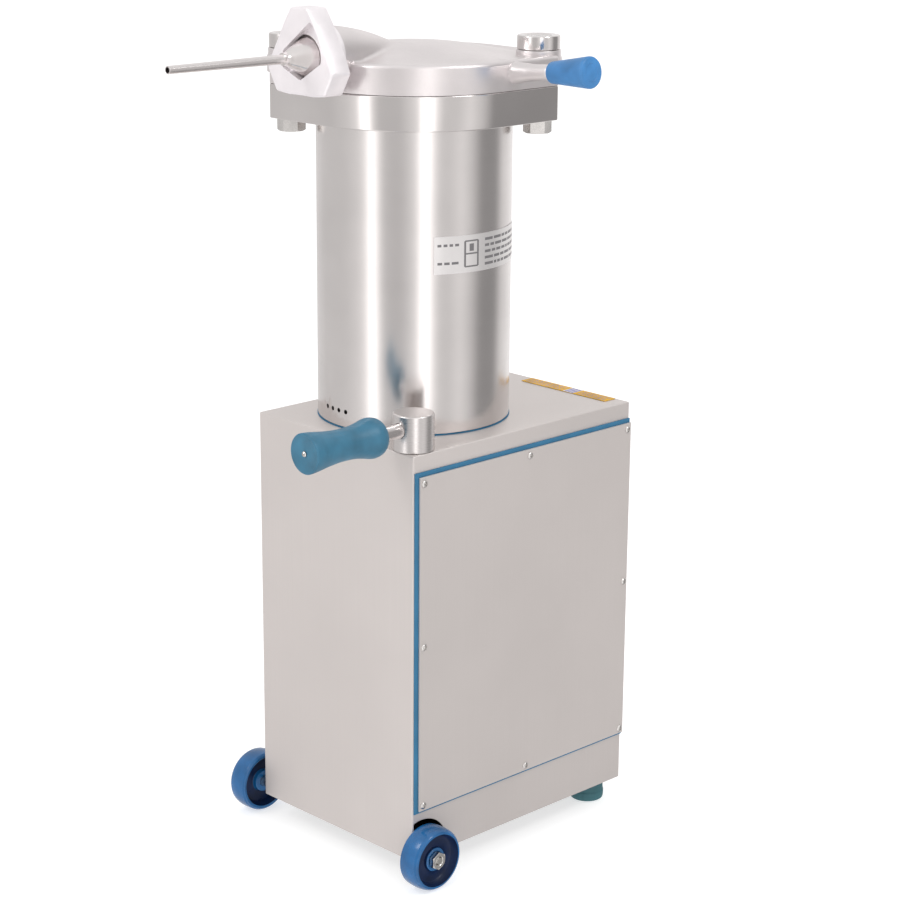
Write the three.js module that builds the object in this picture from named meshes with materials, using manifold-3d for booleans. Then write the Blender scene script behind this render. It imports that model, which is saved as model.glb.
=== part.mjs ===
// Hydraulic sausage stuffer: a sheet cabinet on two wheels and two feet, a filling barrel with a
// swing lid, and the hydraulic drive inside the cabinet. Millimetres, +Z up, the operator's side is -Y.
import * as THREE from "three";
import { mergeVertices } from "three/addons/utils/BufferGeometryUtils.js";
import Module from "manifold-3d";

const wasm = await Module();
wasm.setup();

// ---- Driving dimensions -------------------------------------------------------------------------
// Plan positions are from the middle of the cabinet, heights from the floor.
const GAP = 0.3; // clearance between pieces that touch
const ROUND = { large: 40, medium: 22, small: 14, tiny: 8 }; // sides of a circle, by its size
const CABINET = { width: 280, depth: 378, bottom: 33, top: 548, sheet: 2 };
const BARREL = { x: -12.3, y: -45.4, radius: 119, bore: 114, bottom: 551.3, floor: 12 };
const FLANGE = { bottom: 916, top: 957, tip: 172, tipHalf: 25 };
const FLANGE_RADIUS = (FLANGE.tip + FLANGE.tipHalf) / Math.SQRT2; // the ear flanks are tangents
const SEAL = { inner: 122, outer: 127, depth: 3.5 };
const POST = { offset: 105, stud: 10, head: 26, headBottom: 998.3, headTop: 1015 };
const HOOK = { half: 12, sweep: 15 }; // the latch slot's half width and its angle about the hinge
const NUT = { acrossFlats: 30, height: 18 };
const DRAIN = { radius: 2.8, height: 569.2, degrees: [-105, -99, -93, -87] };
const LID = { bottom: FLANGE.top + GAP, rim: 33, dome: 51.7, ear: 40.4 };
const DUCT = { height: 41.7, collar: 34, collarEnd: 141.6, spigot: 31, spigotEnd: 157.6, throat: 78 };
const NOZZLE = { flange: 30.6, back: 157.9, coneStart: 162, coneEnd: 206.6, tip: 370.6, tubeRoot: 5.5,
  tubeTip: 4.6, bore: 3.4 };
const WING = { back: 144.9, front: 181.6, plateBack: 152.6, lobeAt: 28, lobe: 29, hub: 40 };
const ARM = { x: 112, y: 32.4, z: 18.5, tilt: 5, gripAt: 78.4, grip: 68 };
const LEVER = { x: 115.4, y: -165.8, hub: 25, hubTop: 593, rodHeight: 574.5, gripStart: 45, grip: 124 };
const CRANK = { reach: 18, pin: 4, top: 526, bottom: 518, pinEnd: 506 };
const SPOOL = { height: 512, radius: 5.5, end: 5, forkStart: 106, forkEnd: 125 };
const VALVE = { x: 20, y: -169.8, z: 493, width: 68, depth: 44, height: 40.4 };
const PISTON = { radius: 113.4, bottom: 574, top: 602, rod: 20, spigot: 12 };
const RAM = { outer: 48, inner: 40, bottom: 78, top: 503.4, cap: 16, head: 60, rest: 96 };
const MOUNT_PLATE = { bottom: 533.7, thickness: 12 };
const PANEL = { gasketY: -187.7, panelY: -180.1, rearY: 188, bottom: 98, gasketBottom: 95.8, top: 521.7,
  gasketTop: 527.2, thickness: 2, window: 24 };
const SCREW = { head: 4.6, shank: 2, rowFront: -175, rowRear: 181.5, rows: [105, 309.7, 513.5] };
const WHEEL = { y: -174, left: -157.3, right: 143.3, bore: 7.3 }; // left and right: inner faces
const ARCH = { radius: 44, front: -187 }; // the side sheets' cut-outs about the wheels
const AXLE = { radius: 7, height: 40 };
const FOOT = { x: 104, y: 165, radius: 21.5, bolt: 5 };
const BASE = { bottom: 50, thickness: 6 };
const TANK = { width: 240, front: 50, rear: 180, wall: 3, top: 205, lid: 8 };
const MOTOR = { x: 0, y: 115, radius: 62, top: 400, shaft: 8 };
const LABEL = { from: -32, to: 44, bottom: 745, top: 790, thickness: 0.6 };
const GLAND = { x: -100, z: 140 };

// ---- Materials ----------------------------------------------------------------------------------
const finish = (color, roughness, metalness) =>
  new THREE.MeshStandardMaterial({ color, roughness, metalness });
const brushed = () => finish(0xb7b4ae, 0.42, 1);
const polished = () => finish(0xd2cfc9, 0.2, 1);
const cast = () => finish(0xd6d3ce, 0.36, 1);
const blue = () => finish(0x1f6fae, 0.5, 0);
const wheelBlue = () => finish(0x14508c, 0.35, 0);
const gasketBlue = () => finish(0x1f7d9c, 0.6, 0);
const rubber = () => finish(0x20727c, 0.75, 0);
const steel = () => finish(0x8f9296, 0.35, 1);
const painted = () => finish(0x3c5a75, 0.5, 0.2);
const sticker = () => finish(0xe4e4e2, 0.4, 0);

// ---- Geometry helpers ---------------------------------------------------------------------------
function solid(geometry) {
  const plain = geometry.clone();
  plain.deleteAttribute("normal");
  plain.deleteAttribute("uv");
  const merged = mergeVertices(plain, 1e-4);
  const position = merged.attributes.position;
  const corners = [];
  for (let i = 0; i < merged.index.count; i += 3) {
    const [a, b, c] = [0, 1, 2].map((k) => merged.index.getX(i + k));
    if (a !== b && b !== c && c !== a) corners.push(a, b, c);
  }
  const at = (i) => new THREE.Vector3().fromBufferAttribute(position, i);
  let volume = 0;
  for (let i = 0; i < corners.length; i += 3) {
    volume += at(corners[i]).dot(at(corners[i + 1]).cross(at(corners[i + 2])));
  }
  if (volume < 0) corners.reverse();
  return new wasm.Manifold(
    new wasm.Mesh({ numProp: 3, vertProperties: position.array, triVerts: new Uint32Array(corners) }),
  );
}

function surface(manifold) {
  const mesh = manifold.getMesh();
  const geometry = new THREE.BufferGeometry();
  geometry.setAttribute("position", new THREE.BufferAttribute(new Float32Array(mesh.vertProperties), 3));
  geometry.setIndex(new THREE.BufferAttribute(new Uint32Array(mesh.triVerts), 1));
  return geometry;
}

const join = (...geometries) => surface(geometries.map(solid).reduce((a, b) => a.add(b)));
const cut = (body, ...tools) => surface(tools.map(solid).reduce((a, b) => a.subtract(b), solid(body)));

// A turned shape about +Z: profile points are [radius, z].
function turned(profile, segments = ROUND.medium) {
  const points = profile.map(([radius, z]) => new THREE.Vector2(radius, z));
  return new THREE.LatheGeometry(points, segments).rotateX(Math.PI / 2);
}

// A turned ring: the profile closes on itself and stays off the axis.
const ring = (profile, segments) => turned([...profile, profile[0]], segments);

const tube = (inner, outer, bottom, top, segments) =>
  ring([[inner, bottom], [outer, bottom], [outer, top], [inner, top]], segments);

const rod = (radius, bottom, top, segments = ROUND.small) =>
  turned([[0, bottom], [radius, bottom], [radius, top], [0, top]], segments);

// A round cutting tool whose flats, not its corners, lie at the stated radius.
const hole = (radius, bottom, top, segments = ROUND.small) =>
  rod(radius / Math.cos(Math.PI / segments), bottom, top, segments);

const block = (x0, x1, y0, y1, z0, z1) =>
  new THREE.BoxGeometry(x1 - x0, y1 - y0, z1 - z0).translate((x0 + x1) / 2, (y0 + y1) / 2, (z0 + z1) / 2);

function extruded(shape, depth, options = {}) {
  return new THREE.ExtrudeGeometry(shape, { depth, bevelEnabled: false, curveSegments: 12, ...options });
}

const alongX = (geometry) => geometry.rotateY(Math.PI / 2); // +Z becomes +X
const towardFront = (geometry) => geometry.rotateX(Math.PI / 2); // +Z becomes -Y

const machine = new THREE.Group();

function addPart(parent, name, geometry, material, place = [0, 0, 0], turn = [0, 0, 0]) {
  const mesh = new THREE.Mesh(surface(solid(geometry)), material);
  mesh.name = name;
  mesh.position.set(...place);
  mesh.rotation.set(...turn);
  parent.add(mesh);
  return mesh;
}

function addGroup(parent, x, y, z, turnZ = 0) {
  const group = new THREE.Group();
  group.position.set(x, y, z);
  group.rotation.z = turnZ;
  parent.add(group);
  return group;
}

// ---- Cabinet ------------------------------------------------------------------------------------
const halfWidth = CABINET.width / 2;
const halfDepth = CABINET.depth / 2;
const screwPlaces = [
  ...SCREW.rows.map((z) => [SCREW.rowFront, z]),
  ...SCREW.rows.map((z) => [SCREW.rowRear, z]),
  [(SCREW.rowFront + SCREW.rowRear) / 2, SCREW.rows[0]],
  [(SCREW.rowFront + SCREW.rowRear) / 2, SCREW.rows[2]],
];
const screwHoles = (x0, x1) => screwPlaces.map(([y, z]) =>
  alongX(hole(SCREW.shank + GAP, x0, x1, ROUND.tiny)).translate(0, y, z));

function cabinetShell() {
  const inside = halfWidth - CABINET.sheet;
  const arch = (x) => cut(
    alongX(rod(ARCH.radius, x - 5, x + 5, ROUND.large)).translate(0, WHEEL.y, AXLE.height),
    block(x - 6, x + 6, ARCH.front - 50, ARCH.front, 0, AXLE.height + ARCH.radius),
  );
  return cut(
    block(-halfWidth, halfWidth, -halfDepth, halfDepth, CABINET.bottom, CABINET.top),
    block(-inside, inside, -halfDepth + CABINET.sheet, halfDepth - CABINET.sheet, CABINET.bottom - 5,
      CABINET.top - CABINET.sheet),
    block(inside - 5, halfWidth + 5, PANEL.gasketY + PANEL.window, PANEL.rearY - PANEL.window,
      PANEL.bottom + PANEL.window, PANEL.top - PANEL.window),
    rod(PISTON.rod + 4, CABINET.top - 10, CABINET.top + 10).translate(BARREL.x, BARREL.y, 0),
    hole(9.5, CABINET.top - 10, CABINET.top + 10).translate(LEVER.x, LEVER.y, 0),
    towardFront(rod(8.4, -halfDepth - 5, -halfDepth + 5)).translate(GLAND.x, 0, GLAND.z),
    arch(halfWidth),
    arch(-halfWidth),
    ...screwHoles(inside - 5, halfWidth + 5),
  );
}

function panelFrame() {
  return cut(
    block(halfWidth + GAP, halfWidth + PANEL.thickness, PANEL.gasketY, PANEL.rearY, PANEL.gasketBottom,
      PANEL.gasketTop),
    block(halfWidth - 5, halfWidth + 10, PANEL.gasketY + PANEL.window, PANEL.rearY - PANEL.window,
      PANEL.bottom + PANEL.window, PANEL.top - PANEL.window),
    ...screwHoles(halfWidth - 5, halfWidth + 10),
  );
}

function servicePanel() {
  const face = halfWidth + PANEL.thickness + GAP;
  return cut(
    block(face, face + PANEL.thickness, PANEL.panelY, PANEL.rearY, PANEL.bottom, PANEL.top),
    ...screwHoles(halfWidth - 5, halfWidth + 10),
  );
}

function panelScrew() {
  const underHead = 2 * PANEL.thickness + 2 * GAP;
  return alongX(turned([[0, -6], [SCREW.shank, -6], [SCREW.shank, underHead], [SCREW.head, underHead],
    [SCREW.head, underHead + 1], [SCREW.head * 0.6, underHead + 2.4], [0, underHead + 2.8]], ROUND.tiny));
}

const screwNames = ["front_low", "front_middle", "front_top", "rear_low", "rear_middle", "rear_top",
  "centre_low", "centre_top"];

addPart(machine, "cabinet_shell", cabinetShell(), brushed());
addPart(machine, "panel_gasket", panelFrame(), gasketBlue());
addPart(machine, "service_panel", servicePanel(), brushed());
screwPlaces.forEach(([y, z], i) => {
  addPart(machine, `panel_screw_${screwNames[i]}`, panelScrew(), steel(), [halfWidth, y, z]);
});

// The floor of the cabinet carries the axle in two lugs, the feet and the tank.
function basePlate() {
  const x = halfWidth - CABINET.sheet - 1;
  const y = halfDepth - CABINET.sheet - 1;
  const top = BASE.bottom + BASE.thickness;
  const lug = (side) => block(side * 110 - 8, side * 110 + 8, WHEEL.y - 11, WHEEL.y + 11,
    CABINET.bottom - 1, BASE.bottom + 1);
  const boltHole = (side) => hole(FOOT.bolt + GAP, BASE.bottom - 5, top + 5)
    .translate(side * FOOT.x, FOOT.y, 0);
  return cut(
    join(block(-x, x, -y, y, BASE.bottom, top), lug(-1), lug(1)),
    alongX(hole(AXLE.radius + GAP, -halfWidth, halfWidth)).translate(0, WHEEL.y, AXLE.height),
    boltHole(-1),
    boltHole(1),
  );
}
addPart(machine, "base_plate", basePlate(), steel());

const sides = [["left", -1], ["right", 1]];
for (const [side, sign] of sides) {
  const top = BASE.bottom - GAP;
  const rubberFoot = cut(
    turned([[0, 0], [FOOT.radius - 3, 0], [FOOT.radius - 0.8, 0.8], [FOOT.radius, 3], [FOOT.radius, top],
      [0, top]], ROUND.medium),
    hole(FOOT.bolt + GAP, 22, top + 5),
  );
  addPart(machine, `foot_${side}`, rubberFoot, rubber(), [sign * FOOT.x, FOOT.y, 0]);
  const head = BASE.bottom + BASE.thickness + GAP;
  const bolt = join(rod(FOOT.bolt, 24, head + 1), turnedHex(16, head, head + 6));
  addPart(machine, `foot_bolt_${side}`, bolt, steel(), [sign * FOOT.x, FOOT.y, 0]);
}

function turnedHex(acrossFlats, bottom, top) {
  const radius = acrossFlats / Math.sqrt(3);
  return new THREE.CylinderGeometry(radius, radius, top - bottom, 6).rotateX(Math.PI / 2)
    .translate(0, 0, (bottom + top) / 2);
}

// ---- Wheels and axle ----------------------------------------------------------------------------
const wheelProfile = [[WHEEL.bore, 2], [14, 2], [14, 9], [30, 9], [33, 1], [36, 0], [40, 3.5],
  [40, 24.2], [36, 27.7], [33, 26.7], [30, 18], [15, 18], [14, 22], [WHEEL.bore, 22]];
const axleMiddle = (WHEEL.left + WHEEL.right) / 2;
const axleEnd = WHEEL.right - axleMiddle + 30;
for (const [side, sign] of sides) {
  const turn = [0, sign * Math.PI / 2, 0];
  addPart(machine, `wheel_${side}`, ring(wheelProfile, ROUND.medium), wheelBlue(),
    [WHEEL[side], WHEEL.y, AXLE.height], turn);
  const nut = cut(turnedHex(20, 22.3, 29), hole(5 + GAP, 20, 31));
  addPart(machine, `wheel_nut_${side}`, nut, steel(), [WHEEL[side], WHEEL.y, AXLE.height], turn);
}
const axle = turned([[0, -axleEnd], [4, -axleEnd], [5, 1 - axleEnd], [5, 8.1 - axleEnd],
  [AXLE.radius, 8.1 - axleEnd], [AXLE.radius, axleEnd - 8.1], [5, axleEnd - 8.1], [5, axleEnd - 1],
  [4, axleEnd], [0, axleEnd]], ROUND.small);
addPart(machine, "axle", alongX(axle), steel(), [axleMiddle, WHEEL.y, AXLE.height]);

// ---- Barrel, flange and posts -------------------------------------------------------------------
const column = addGroup(machine, BARREL.x, BARREL.y, 0);

addPart(column, "barrel_gasket", tube(PISTON.rod + 6, BARREL.radius + 1.5, CABINET.top + GAP,
  BARREL.bottom - GAP, ROUND.large), gasketBlue());

function barrel() {
  const floorTop = BARREL.bottom + BARREL.floor;
  const bore = PISTON.rod + 0.4;
  const body = ring([[bore, BARREL.bottom], [BARREL.radius, BARREL.bottom], [BARREL.radius, FLANGE.top],
    [BARREL.bore + 1, FLANGE.top], [BARREL.bore, FLANGE.top - 2], [BARREL.bore, floorTop],
    [bore, floorTop]], ROUND.large);
  const drains = DRAIN.degrees.map((degrees) =>
    alongX(rod(DRAIN.radius, BARREL.bore - 5, BARREL.radius + 5, ROUND.tiny)).translate(0, 0, DRAIN.height)
      .rotateZ(THREE.MathUtils.degToRad(degrees)));
  return cut(body, ...drains);
}
addPart(column, "barrel", barrel(), polished());

// The outline shared by flange and lid: a circle with a truncated ear at each end of its long axis.
function earedOutline() {
  const shape = new THREE.Shape();
  const eighth = Math.PI / 4;
  shape.moveTo(FLANGE.tip, -FLANGE.tipHalf);
  shape.lineTo(FLANGE.tip, FLANGE.tipHalf);
  shape.absarc(0, 0, FLANGE_RADIUS, eighth, 3 * eighth);
  shape.lineTo(-FLANGE.tip, FLANGE.tipHalf);
  shape.lineTo(-FLANGE.tip, -FLANGE.tipHalf);
  shape.absarc(0, 0, FLANGE_RADIUS, 5 * eighth, 7 * eighth);
  shape.closePath();
  return shape;
}

const postPlaces = [["hinge", -1], ["latch", 1]];

function flange() {
  const studHole = (sign) => hole(POST.stud + GAP, FLANGE.bottom - 5, FLANGE.top + 5)
    .translate(sign * POST.offset, sign * POST.offset, 0);
  return cut(
    extruded(earedOutline(), FLANGE.top - FLANGE.bottom, { curveSegments: 10 })
      .rotateZ(Math.PI / 4).translate(0, 0, FLANGE.bottom),
    hole(BARREL.radius + GAP, FLANGE.bottom - 5, FLANGE.top + 5, ROUND.large),
    tube(SEAL.inner, SEAL.outer, FLANGE.top - SEAL.depth, FLANGE.top + 5, ROUND.large),
    studHole(-1),
    studHole(1),
  );
}
addPart(column, "flange", flange(), polished());
addPart(column, "lid_seal", tube(SEAL.inner + GAP, SEAL.outer - GAP, FLANGE.top - SEAL.depth + GAP,
  FLANGE.top, ROUND.large), gasketBlue());

for (const [name, sign] of postPlaces) {
  const place = [sign * POST.offset, sign * POST.offset, 0];
  const bottom = FLANGE.bottom - NUT.height - 4;
  const post = turned([[0, bottom], [POST.stud - 1, bottom], [POST.stud, bottom + 1],
    [POST.stud, POST.headBottom], [POST.head, POST.headBottom], [POST.head, POST.headTop - 1],
    [POST.head - 1, POST.headTop], [0, POST.headTop]], ROUND.medium);
  addPart(column, `${name}_post`, post, polished(), place);
  const nutTop = FLANGE.bottom - GAP;
  const nut = cut(turnedHex(NUT.acrossFlats, nutTop - NUT.height, nutTop),
    hole(POST.stud + GAP, nutTop - NUT.height - 5, nutTop + 5));
  addPart(column, `${name}_post_nut`, nut, steel(), place, [0, 0, Math.PI / 12]);
}

// The rating label is a thin plate that follows the barrel's wall.
function labelShape() {
  const [from, to] = [LABEL.from, LABEL.to].map(THREE.MathUtils.degToRad);
  const inner = BARREL.radius + GAP;
  const shape = new THREE.Shape();
  shape.absarc(0, 0, inner + LABEL.thickness, from, to);
  shape.absarc(0, 0, inner, to, from, true);
  shape.closePath();
  return shape;
}
addPart(column, "barrel_label", extruded(labelShape(), LABEL.top - LABEL.bottom), sticker(),
  [0, 0, LABEL.bottom]);
addPart(machine, "top_label", block(-29, 119, 165, 186, 0, LABEL.thickness), sticker(),
  [0, 0, CABINET.top + GAP]);

// ---- Lid with its outlet duct and handle arm ----------------------------------------------------
const cover = addGroup(column, 0, 0, LID.bottom);

// The arm leaves the ear's flank and rises a little towards its grip.
const armTurn = Math.PI / 2 - THREE.MathUtils.degToRad(ARM.tilt);
const armShape = (profile, segments) => turned(profile, segments).rotateY(armTurn)
  .translate(ARM.x, ARM.y, ARM.z);

// The latch ear's slot is an arc about the hinge post, so that the ear swings clear of its post.
function hookSlot() {
  const swing = 2 * Math.SQRT2 * POST.offset;
  const [from, to] = [Math.PI / 4, Math.PI / 4 + THREE.MathUtils.degToRad(HOOK.sweep)];
  const shape = new THREE.Shape();
  shape.absarc(-POST.offset, -POST.offset, swing + HOOK.half, from, to);
  shape.absarc(-POST.offset, -POST.offset, swing - HOOK.half, to, from, true);
  shape.closePath();
  return shape;
}

function lid() {
  const bevel = 6;
  const plate = extruded(earedOutline(), LID.rim, { curveSegments: 12, bevelEnabled: true,
    bevelThickness: bevel, bevelSize: bevel, bevelOffset: -bevel, bevelSegments: 2 })
    .rotateZ(Math.PI / 4).translate(0, 0, -bevel);
  const dome = turned([[0, 10], [129, 10], [129, 30], [122, LID.rim + 1], [100, 40], [62, 47.5],
    [24, LID.dome], [0, LID.dome]], ROUND.large);
  const bossProfile = [[0, 10], [28.5, 10], [28.5, 31], [27, 34], [27, LID.ear], [0, LID.ear]];
  const boss = (sign) => turned(bossProfile, ROUND.medium)
    .translate(sign * POST.offset, sign * POST.offset, 0);
  const horn = towardFront(turned([[0, 26], [9, 40], [16.5, 52], [22.5, 66], [25.5, 84], [29, 104],
    [32.5, 124], [DUCT.collar, 134], [DUCT.collar, DUCT.collarEnd], [DUCT.spigot, DUCT.collarEnd],
    [DUCT.spigot, DUCT.spigotEnd - 1], [DUCT.spigot - 1, DUCT.spigotEnd], [0, DUCT.spigotEnd]],
  ROUND.medium)).translate(0, 0, DUCT.height);
  const arm = armShape([[0, 0], [17, 0], [14, 26], [10, 44], [8.5, ARM.gripAt - GAP],
    [6, ARM.gripAt - GAP], [6, ARM.gripAt + 42], [0, ARM.gripAt + 42]], ROUND.small);
  const below = block(-300, 300, -300, 300, -50, 0);
  const hollow = turned([[0, -2], [108, -2], [108, 0], [103, 13], [70, 25], [30, 32], [0, 33]],
    ROUND.large);
  const passage = towardFront(turned([[0, 60], [12, 61], [17, 66], [18, 80], [22, DUCT.spigotEnd],
    [22, 170], [0, 170]], ROUND.medium)).translate(0, 0, DUCT.height);
  const throat = rod(17, -2, DUCT.height, ROUND.medium).translate(0, -DUCT.throat, 0);
  const hingeHole = hole(POST.stud + 0.4, -5, LID.ear + 5).translate(-POST.offset, -POST.offset, 0);
  const hook = join(
    rod(HOOK.half, -5, LID.ear + 5).translate(POST.offset, POST.offset, 0),
    extruded(hookSlot(), LID.ear + 10).translate(0, 0, -5),
  );
  return cut(join(plate, dome, boss(-1), boss(1), horn, arm), below, hollow, passage, throat, hingeHole,
    hook);
}
addPart(cover, "lid", lid(), cast());

const lidGrip = cut(
  turned([[0, 0], [11, 0], [13.6, 1.5], [14.4, 4.5], [20.6, ARM.grip - 5], [20.6, ARM.grip - 2.5],
    [19, ARM.grip - 0.6], [17.5, ARM.grip], [0, ARM.grip]], ROUND.medium),
  hole(6 + GAP, -5, 43),
);
const grip = new THREE.Vector3(0, 0, ARM.gripAt).applyAxisAngle(new THREE.Vector3(0, 1, 0), armTurn);
addPart(cover, "lid_grip", lidGrip, blue(), [ARM.x + grip.x, ARM.y, ARM.z + grip.z], [0, armTurn, 0]);

// ---- Wing nut and nozzle: turned about the duct's axis, +Z of this group points out of the duct -
const outlet = addGroup(cover, 0, 0, DUCT.height);
outlet.rotation.x = Math.PI / 2;

function wingOutline() {
  const shape = new THREE.Shape();
  const third = (2 * Math.PI) / 3;
  for (let i = 0; i < 3; i += 1) {
    const along = Math.PI / 2 + i * third;
    shape.absarc(WING.lobeAt * Math.cos(along), WING.lobeAt * Math.sin(along), WING.lobe,
      along - third / 2, along + third / 2);
  }
  shape.closePath();
  return shape;
}

function wingNut() {
  const plate = extruded(wingOutline(), WING.front - WING.plateBack, { curveSegments: 8 })
    .translate(0, 0, WING.plateBack);
  const hub = rod(WING.hub, WING.back, WING.plateBack + 1, ROUND.large);
  const lip = NOZZLE.coneStart + GAP;
  const thread = DUCT.spigot + 0.8;
  const bore = turned([[0, WING.back - 5], [thread, WING.back - 5], [thread, lip],
    [27, lip], [27, lip + 3], [34, WING.front], [34, WING.front + 5], [0, WING.front + 5]], ROUND.medium);
  return cut(join(plate, hub), bore);
}
addPart(outlet, "outlet_nut", wingNut(), cast());

const nozzle = ring([
  [22, NOZZLE.back], [NOZZLE.flange, NOZZLE.back], [NOZZLE.flange, NOZZLE.coneStart],
  [26.4, NOZZLE.coneStart], [26.2, NOZZLE.coneStart + 3.3], [7.4, NOZZLE.coneEnd - 3],
  [7.4, NOZZLE.coneEnd], [NOZZLE.tubeRoot, NOZZLE.coneEnd], [NOZZLE.tubeTip, NOZZLE.tip],
  [NOZZLE.bore, NOZZLE.tip], [NOZZLE.bore, NOZZLE.coneEnd - 2], [21, NOZZLE.back + 6],
], ROUND.small);
addPart(outlet, "nozzle", nozzle, polished());

// ---- Control lever ------------------------------------------------------------------------------
const lever = addGroup(machine, LEVER.x, LEVER.y, 0);
const hubBottom = CABINET.top + 0.6;
const leverHub = cut(
  turned([[0, hubBottom], [LEVER.hub, hubBottom], [LEVER.hub, LEVER.hubTop - 1.5],
    [LEVER.hub - 1.5, LEVER.hubTop], [0, LEVER.hubTop]], ROUND.medium),
  hole(9 + GAP, hubBottom - 5, LEVER.hubTop - 8),
  towardFront(hole(7.75 + GAP, 11.7, 40)).translate(0, 0, LEVER.rodHeight),
);
addPart(lever, "lever_hub", leverHub, polished());
addPart(lever, "lever_rod", towardFront(rod(7.75, 12, LEVER.gripStart + 90)), polished(),
  [0, 0, LEVER.rodHeight]);

const gripProfile = [[0, 0], [10, 0], [16, 3], [21, 9], [24, 18], [24.3, 24], [21.5, 36], [19.4, 50],
  [18.8, 66], [19.2, 80], [20.6, 94], [22.6, 108], [24, 119], [23.4, 122.6], [22, LEVER.grip],
  [0, LEVER.grip]];
const leverGrip = cut(turned(gripProfile, ROUND.medium), hole(7.75 + GAP, -5, 90 + GAP),
  hole(3 + GAP, LEVER.grip - 10, LEVER.grip + 5, ROUND.tiny));
addPart(lever, "lever_grip", leverGrip, blue(), [0, -LEVER.gripStart, LEVER.rodHeight],
  [Math.PI / 2, 0, 0]);
const endScrew = turned([[0, -8], [3, -8], [3, GAP], [4.6, GAP], [4.6, 1], [3.4, 1.9], [0, 2.1]],
  ROUND.tiny);
addPart(lever, "lever_end_screw", endScrew, steel(), [0, -LEVER.gripStart - LEVER.grip, LEVER.rodHeight],
  [Math.PI / 2, 0, 0]);

// The spindle carries a crank below the cabinet's top; its pin moves the valve's spool.
const spindle = join(
  rod(9, CRANK.bottom, LEVER.hubTop - 8 - GAP),
  block(-7, 7, 0, CRANK.reach + 7, CRANK.bottom, CRANK.top),
  rod(CRANK.pin, CRANK.pinEnd, CRANK.bottom + 1, ROUND.small).translate(0, CRANK.reach, 0),
);
addPart(lever, "lever_spindle", spindle, steel());
addPart(lever, "spindle_bush", tube(9 + GAP, 16, 530, CABINET.top - CABINET.sheet - GAP,
  ROUND.small), steel());

const spoolY = LEVER.y + CRANK.reach;
const valveBlock = cut(
  block(VALVE.x, VALVE.x + VALVE.width, VALVE.y, VALVE.y + VALVE.depth, VALVE.z, VALVE.z + VALVE.height),
  alongX(hole(SPOOL.radius + GAP, 0, 120)).translate(0, spoolY, SPOOL.height),
);
addPart(machine, "valve_block", valveBlock, painted());
const slot = 4.8;
const valveSpool = cut(
  join(
    alongX(rod(SPOOL.radius, SPOOL.end, SPOOL.forkStart + 2)),
    block(SPOOL.forkStart, SPOOL.forkEnd, -11, 11, -4, 4),
  ),
  block(LEVER.x - slot, LEVER.x + slot, -8, 6, -10, 10),
);
addPart(machine, "valve_spool", valveSpool, steel(), [0, spoolY, SPOOL.height]);

// ---- Ram and piston -----------------------------------------------------------------------------
const plateTop = MOUNT_PLATE.bottom + MOUNT_PLATE.thickness;
const mountPlate = cut(
  block(-130, 90, -170, 85, MOUNT_PLATE.bottom, plateTop),
  rod(PISTON.rod + 4, MOUNT_PLATE.bottom - 5, plateTop + 5).translate(BARREL.x, BARREL.y, 0),
);
addPart(machine, "ram_mount_plate", mountPlate, steel());
addPart(column, "ram_head", tube(PISTON.rod + 0.4, RAM.head, RAM.top + GAP,
  MOUNT_PLATE.bottom - GAP, ROUND.medium), steel());
const ramCylinder = turned([[0, RAM.bottom], [RAM.outer, RAM.bottom], [RAM.outer, RAM.top],
  [RAM.inner, RAM.top], [RAM.inner, RAM.bottom + RAM.cap], [0, RAM.bottom + RAM.cap]], ROUND.medium);
addPart(column, "ram_cylinder", ramCylinder, painted());

const ramPiston = RAM.inner - 0.4;
const pistonRod = turned([[0, RAM.rest], [ramPiston, RAM.rest], [ramPiston, RAM.rest + 30],
  [PISTON.rod, RAM.rest + 30], [PISTON.rod, PISTON.bottom - GAP], [PISTON.spigot, PISTON.bottom - GAP],
  [PISTON.spigot, PISTON.top + 16], [0, PISTON.top + 16]], ROUND.medium);
addPart(column, "piston_rod", pistonRod, polished());
const groove = { bottom: PISTON.bottom + 9, top: PISTON.bottom + 19, radius: 107 };
const piston = ring([[PISTON.spigot + GAP, PISTON.bottom], [PISTON.radius, PISTON.bottom],
  [PISTON.radius, groove.bottom], [groove.radius, groove.bottom], [groove.radius, groove.top],
  [PISTON.radius, groove.top], [PISTON.radius, PISTON.top], [PISTON.spigot + GAP, PISTON.top]],
ROUND.large);
addPart(column, "piston", piston, cast());
addPart(column, "piston_seal", tube(groove.radius + GAP, PISTON.radius + 0.2, groove.bottom + GAP,
  groove.top - GAP, ROUND.large), gasketBlue());
const pistonNut = cut(turnedHex(36, PISTON.top + GAP, PISTON.top + 14),
  hole(PISTON.spigot + GAP, PISTON.top - 5, PISTON.top + 20));
addPart(column, "piston_nut", pistonNut, steel());

// ---- Power pack: tank, pump, motor, pipes and the electrical box --------------------------------
const tankBottom = BASE.bottom + BASE.thickness + GAP;
const tankX = TANK.width / 2;
const oilTank = cut(
  block(-tankX, tankX, TANK.front, TANK.rear, tankBottom, TANK.top),
  block(-tankX + TANK.wall, tankX - TANK.wall, TANK.front + TANK.wall, TANK.rear - TANK.wall,
    tankBottom + TANK.wall, TANK.top + 5),
  rod(16, 0, tankBottom + 8).translate(-FOOT.x, FOOT.y, 0),
  rod(16, 0, tankBottom + 8).translate(FOOT.x, FOOT.y, 0),
);
addPart(machine, "oil_tank", oilTank, painted());
const lidTop = TANK.top + GAP + TANK.lid;
const tankLid = cut(
  block(-tankX - 3, tankX + 3, TANK.front - 3, TANK.rear + 3, TANK.top + GAP, lidTop),
  rod(12, TANK.top - 5, lidTop + 5).translate(MOTOR.x, MOTOR.y, 0),
);
addPart(machine, "tank_lid", tankLid, painted());

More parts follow.
